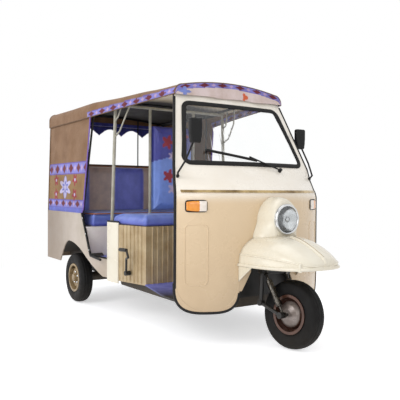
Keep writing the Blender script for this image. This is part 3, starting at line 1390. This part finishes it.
@dataclass
class Hood(SubAssembly):
    """Canvas hood: roof with valances, lining, quarter panels, rear sheet and the scalloped curtain."""

    # Roof's table in mm: half width and the valance's foot by place, and the bows that carry it
    places: Row = (-590, 0, 348, 725, 1410)
    halves: Row = (602, 602, 600, 540, 455)
    lows: Row = (1515, 1515, 1518, 1540, 1571)
    bows: Row = (-566, 335, 1010, 1380)
    edge_z: float = 1.640
    crown_z: float = 1.680
    shoulder: float = 0.060
    sag: float = 0.012
    upright: int = 14
    lining_gap: float = 0.008
    # Walls: foot, half width there, lean, and heights of the bands of diamonds
    wall_z: float = 0.757
    wall_half: float = 0.6135
    lean: float = math.tan(math.radians(1.6))
    low_band: Pair = (0.795, 0.862)
    high_band: Pair = (1.08, 1.176)
    wall_pitch: float = 0.165
    roof_pitch: float = 0.15
    # Rear window's half width and heights, and the curtain's half width, head, foot, points and gathers
    window_half: float = 0.467
    window_z: Pair = (1.19, 1.56)
    curtain_half: float = 0.47
    curtain_z: Pair = (1.60, 1.542)
    curtain_point: float = 0.064
    curtain_pitch: float = 0.235
    gather: Pair = (0.004, 0.047)
    brown: str = "#805F40"
    blue: str = "#6169BE"

    def section(self, x_mm: Array, inward: float = 0.0) -> Array:
        """Gives the roof's sections: an upright valance, a round shoulder and a flat arch that sags.

        Args:
            x_mm: places along the length.
            inward: distance inside the outer surface.

        Returns:
            Array of places by points by 3, running from the left valance to the right one.
        """
        half, low = (np.interp(x_mm, self.places, row)[:, None] / MM for row in (self.halves, self.lows))
        r, foot, rise = self.shoulder, self.edge_z - self.shoulder, self.crown_z - self.edge_z
        up = np.linspace(0, 1, self.upright)[None]
        angle = np.linspace(0, np.pi / 2, 10)[None, 1:]
        span = (half - r) * np.linspace(1, 0, 26)[None, 1:]
        radius = ((half - r) ** 2 + rise**2) / (2 * rise)
        arch = self.crown_z - radius + np.sqrt(radius**2 - span**2) - inward
        y = np.hstack([half - inward + 0 * up, half - r + (r - inward) * np.cos(angle), span])
        z = np.hstack([low + (foot - low) * up, foot + (r - inward) * np.sin(angle) + 0 * half, arch])
        y, z = doubled(y, -1), doubled(z)
        b = np.asarray(self.bows, float)
        k = np.clip(np.searchsorted(b, x_mm) - 1, 0, len(b) - 2)
        slack = np.sin(np.pi * np.clip((x_mm - b[k]) / (b[k + 1] - b[k]), 0, 1))[:, None] ** 2
        return xyz(along(x_mm)[:, None], y, z - self.sag * slack * np.clip(1 - (y / half) ** 4, 0, 1))

    def roof(self) -> None:
        """Stretches the canvas over its bows, with a diamond band along its valances, and a lining below."""
        x = np.linspace(self.places[0], self.places[-1], 401)
        grid = self.section(x)
        low = np.interp(x, self.places, self.lows)[:, None] / MM
        dye = plain(palette(self.brown)[0], grid.shape)
        share = (grid[..., 2] - low) / 0.046
        band = (share < 1.0) & (np.abs(grid[..., 1]) > 0.35) & (x[:, None] > 300)
        run = np.broadcast_to(x[:, None] / MM, share.shape)
        dye[band] = diamond_band(run, share, self.roof_pitch)[band]
        seam = np.min(np.abs(x[:, None] - np.asarray(self.bows)[None, 1:3]), axis=1)[:, None] < 6
        dye[seam & (share > 1)] *= 0.72
        feet = [cord(grid[:, k] + (0, 0, 0.002), 0.004, ACROSS) for k in (0, -1)]
        ends = [cord(grid[k], 0.0045, AHEAD) for k in (0, -1)]
        hang("roof_sheet", woven(grid[:, ::-1], dye=dye[:, ::-1]), CANVAS,
             ("roof_hems", joined(feet + ends), BINDING), "roof_canvas")
        trim = self.upright + 2
        grid = self.section(np.linspace(-582, 1400, 121), self.lining_gap)[:, trim:-trim]
        tone = np.clip((grid[..., 0] - along(480)) / 0.22, 0, 1)[..., None]
        dark, pale = palette("#2B2622", "#FFF0CF")
        hang("roof_lining", woven(grid, dye=dark + (pale - dark) * tone), CANVAS)

    def front_valance(self) -> None:
        """Hangs the front valance: a strip under the arch, with a pattern along its head and a wavy foot."""
        y = np.linspace(-0.452, 0.452, 181)
        edge = self.section(np.array([self.places[-1]]))[0, self.upright:-self.upright]
        order = np.argsort(edge[:, 1])
        head = np.interp(y, edge[order, 1], edge[order, 2])
        v = np.linspace(0, 1, 25)[:, None]
        foot = 1.574 + 0.003 * np.sin(y * FULL_TURN / 0.3)
        x = along(self.places[-1]) + 0.004 * np.sin(y * FULL_TURN / 0.21) * v + 0.003
        grid = xyz(x, y, head + (foot - head) * v)
        _, run, z = np.moveaxis(grid, -1, 0)
        pale, blue, orange = palette("#D8C6C2", "#7C8BD0", "#D8663C")
        dye = plain(pale, grid.shape)
        share = (head - z) / 0.034
        dye[share < 1] = diamond_band(run, np.clip(share, 0, 1), self.roof_pitch)[share < 1]
        dye[rosette(run + 0.38, (z - 1.595) * 1.6, 0.05, 4)] = blue
        dye[rosette(run - 0.12, (z - 1.600) * 0.9, 0.03, 3)] = orange
        hang("front_valance", woven(grid, dye=dye), CANVAS)

    def quarters(self) -> None:
        """Hangs the quarter panels: leaning sheets to a slanting edge, with diamond bands and flowers."""
        base, gold, blue, red, pale = palette(self.brown, "#87673C", self.blue, "#8E1C2C", "#B9B4D8")
        z = np.linspace(self.wall_z, 1.535, 196)[:, None]
        front = np.interp(z * MM, (757, 800, 1511, 1535), (226, 258, 345, 348))
        x = along(self.places[0] + (front - self.places[0]) * np.linspace(0, 1, 216)[None])
        up = z - self.wall_z
        slack = 0.0025 * np.sin(x * FULL_TURN / 0.31 + 2 * z) * np.sin(np.pi * up / 0.778)
        high = np.broadcast_to(z, x.shape)
        dye = plain(base, x.shape)
        dye[(high > 0.856) & (high < self.high_band[0])] = gold
        dye[high < self.low_band[0]] = blue
        for z0, z1 in (self.low_band, self.high_band):
            band = (high >= z0) & (high < z1)
            dye[band] = diamond_band(x, (high - z0) / (z1 - z0), self.wall_pitch)[band]
        du, dv = x - along(-170), high - 0.968
        dye[np.hypot(du * 1.9, dv) < 0.1] = blue
        for petals, size, ink in ((6, 0.125, pale), (6, 0.07, blue), (8, 0.04, pale)):
            dye[rosette(du * 0.85, dv * 1.3, size, petals, np.pi)] = ink
        for px in (-0.22, 0.22):
            for pz in (-0.062, 0.062):
                dye[rosette(du - px, dv - pz, 0.056, 5, px * 9)] = red
                dye[np.hypot(du - px, dv - pz) < 0.014] = pale
        for side, word in SIDE_WORDS:
            grid = xyz(x, side * (self.wall_half - up * self.lean + slack), z)
            edge = cord(grid[:, -1], 0.006, ACROSS)
            hang(f"quarter_sheet_{word}", woven(grid[:, ::side], dye=dye[:, ::side]), CANVAS,
                 (f"quarter_binding_{word}", edge, PURPLE), f"quarter_canvas_{word}")

    def rear(self) -> None:
        """Hangs the rear sheet, a flat grid up to the roof's arch, without the faces in its window."""
        inner, (sill, head), top = self.curtain_half, self.window_z, 1.66
        y = np.concatenate([np.linspace(-self.wall_half, -inner, 22), np.linspace(-inner, inner, 120)[1:],
                            np.linspace(inner, self.wall_half, 22)[1:]])
        v = np.concatenate([np.linspace(self.wall_z, sill, 60), np.linspace(sill, head, 50)[1:],
                            np.linspace(head, top, 14)[1:]])
        yy, zz = np.meshgrid(y, v, indexing="ij")
        narrow = np.clip(1 - np.clip(zz - self.wall_z, 0, 0.78) * self.lean / self.wall_half, 0, 1)
        radius = 3.692
        arch = self.crown_z - radius + np.sqrt(radius**2 - yy**2) - 0.007
        stretch = np.where(zz > head, (arch - self.wall_z) / (top - self.wall_z), 1.0)
        zz = self.wall_z + (zz - self.wall_z) * stretch ** np.clip((zz - head) / 0.1, 0, 1)
        x = along(-588) + 0.002 * np.sin(yy * 21) * np.sin(4 * (zz - self.wall_z))
        grid = xyz(x, yy * narrow, zz)
        z0, z1 = self.low_band
        dye = plain(palette(self.brown)[0], grid.shape)
        band = (zz > z0) & (zz < z1)
        dye[band] = diamond_band(yy, (zz - z0) / (z1 - z0), self.wall_pitch)[band]
        dye[zz < z0] = palette(self.blue)[0]
        skin = woven(grid[:, ::-1], dye=dye[:, ::-1])
        mid = skin.points[skin.quads].mean(1)
        skin.quads = skin.quads[~((np.abs(mid[:, 1]) < 0.465) & (mid[:, 2] > sill) & (mid[:, 2] < head))]
        wide = self.window_half
        loop = rounded_loop([(-wide, sill), (wide, sill), (wide, head), (-wide, head)], 0.02, 200)
        seams = [cord(grid[k, :110], 0.006, AHEAD) for k in (0, -1)]
        seams.append(carried(xyz(along(-588), *loop.T), circle(0.005, 8), True, AHEAD))
        hang("rear_sheet", skin, CANVAS,
             ("rear_sheet_seams", joined(seams), BINDING), "rear_canvas")

    def curtain(self) -> None:
        """Hangs the curtain, gathered in folds of a sine and cut to points by a folded sine."""
        y, v = np.linspace(-self.curtain_half, self.curtain_half, 301), np.linspace(0, 1, 30)[:, None]
        head, foot = self.curtain_z
        fold = np.abs(np.sin((y / self.curtain_pitch - 0.5) * np.pi))
        z = head + (foot - self.curtain_point * (1 - fold) - head) * v
        depth, pitch = self.gather
        x = along(-576) + depth * np.sin(y * FULL_TURN / pitch) * (0.3 + 0.7 * v)
        grid = xyz(x, y, z)
        blue, pale = palette("#474A9E", "#A9A7D6")
        dye = plain(blue, grid.shape)
        dye[np.abs(z - 1.568) < 0.004] = pale
        dye[np.abs(z - 1.560) < 0.004] *= 0.3
        hem = cord(grid[-1], 0.003, AHEAD, sides=6)
        hang("curtain_sheet", woven(grid, dye=dye), CURTAIN,
             ("curtain_hem", hem, LILAC), "rear_curtain")

    def build(self, frame: dict) -> None:
        """Makes the sheets and paints the frame.

        Args:
            frame: the loaded frame.
        """
        for step in (self.roof, self.front_valance, self.quarters, self.rear, self.curtain):
            step()
        dress_nodes(frame, (("canopy_frame", BLACK), ("grab_poles", POLE)))


@dataclass
class Tub(SubAssembly):
    """Rear tub, trim and everything below, which keep their CAD form."""

    nodes: tuple[tuple, ...] = (
        ("side_panel_right", TUB), ("side_panel_left", TUB), ("rear_panel", TUB), ("corner_panels", CREAM),
        ("entry_rubbers", RUBBER), ("rear_floor", MAT), ("wheel_housings", UNDER), ("chassis_rails", UNDER),
        ("chassis_crossmembers", UNDER), ("engine", CAST), ("propeller_shaft", UNDER), ("rear_axle", UNDER),
        ("leaf_springs", UNDER), ("exhaust", RUST), ("tail_lamps", RED), ("kick_starter", BLACK),
        ("fork", BLACK, "steering"), ("front_shocks", SPRING, "steering"), ("handlebar", BLACK, "steering"))
    rivet_y: float = 0.6185
    bead_y: float = 0.612
    bead_r: float = 0.0095
    # The entry rubber's line in mm, place and height, down the post and along the sill
    entry: tuple[Pair, ...] = ((226, 757), (315, 597), (398, 446), (432, 431), (596, 419))

    def rivets(self) -> None:
        """Sets dome rivets on the entry's post, each a turned half round, and a bead along post and sill."""
        t = np.linspace(0, 1, 5)
        dome = np.stack([0.004 * np.sqrt(1 - t**2), 0.006 * t], -1)
        heads = [turned(dome, (float(along(232 + 177 * share)), side * self.rivet_y, 0.757 - 0.321 * share),
                        (0, side, 0), 10) for side in SIDES for share in (0.12, 0.5, 0.88)]
        place("entry_rivets", joined(heads), CHROME, True)
        x, z = curve(self.entry, 90).T
        beads = [carried(xyz(along(x), side * self.bead_y, z / MM), circle(self.bead_r), False, ACROSS)
                 for side in SIDES]
        place("entry_beads", joined(beads), RUBBER, True)

    def build(self, frame: dict) -> None:
        """Dresses each node and adds the rivets."""
        dress_nodes(frame, self.nodes)
        self.rivets()


@dataclass
class Rickshaw(SubAssembly):
    """The whole vehicle, in the order it is built."""

    cab: Cab = field(default_factory=Cab)
    tub: Tub = field(default_factory=Tub)
    seats: Seats = field(default_factory=Seats)
    hood: Hood = field(default_factory=Hood)
    wheels: tuple[Wheel, ...] = (
        Wheel("front", "front_wheel", "front_tyre", "front_rim", (1.177738, 0.003842, 0.204849),
              (-0.1354762, 0.9876883, -0.0782172), DRUM),
        *(Wheel(f"rear_{word}", f"rear_wheel_{word}", f"rear_tyre_{word}", f"rear_rim_{word}",
                (AXLE_X, side * 0.547, 0.205), ACROSS, RIM, nuts=5) for side, word in SIDE_WORDS))

    def build(self, frame: dict) -> None:
        """Builds each sub-assembly.

        Args:
            frame: the loaded frame.
        """
        for part in (self.cab, self.tub, self.seats, self.hood, *self.wheels):
            LOG.info("building %s", type(part).__name__)
            part.build(frame)


def main() -> None:
    """Loads the frame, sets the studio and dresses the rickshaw."""
    logging.basicConfig(level=logging.INFO, format="%(message)s")
    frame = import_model()
    Studio().build()
    Rickshaw().build(frame)


if __name__ == "__main__":
    main()
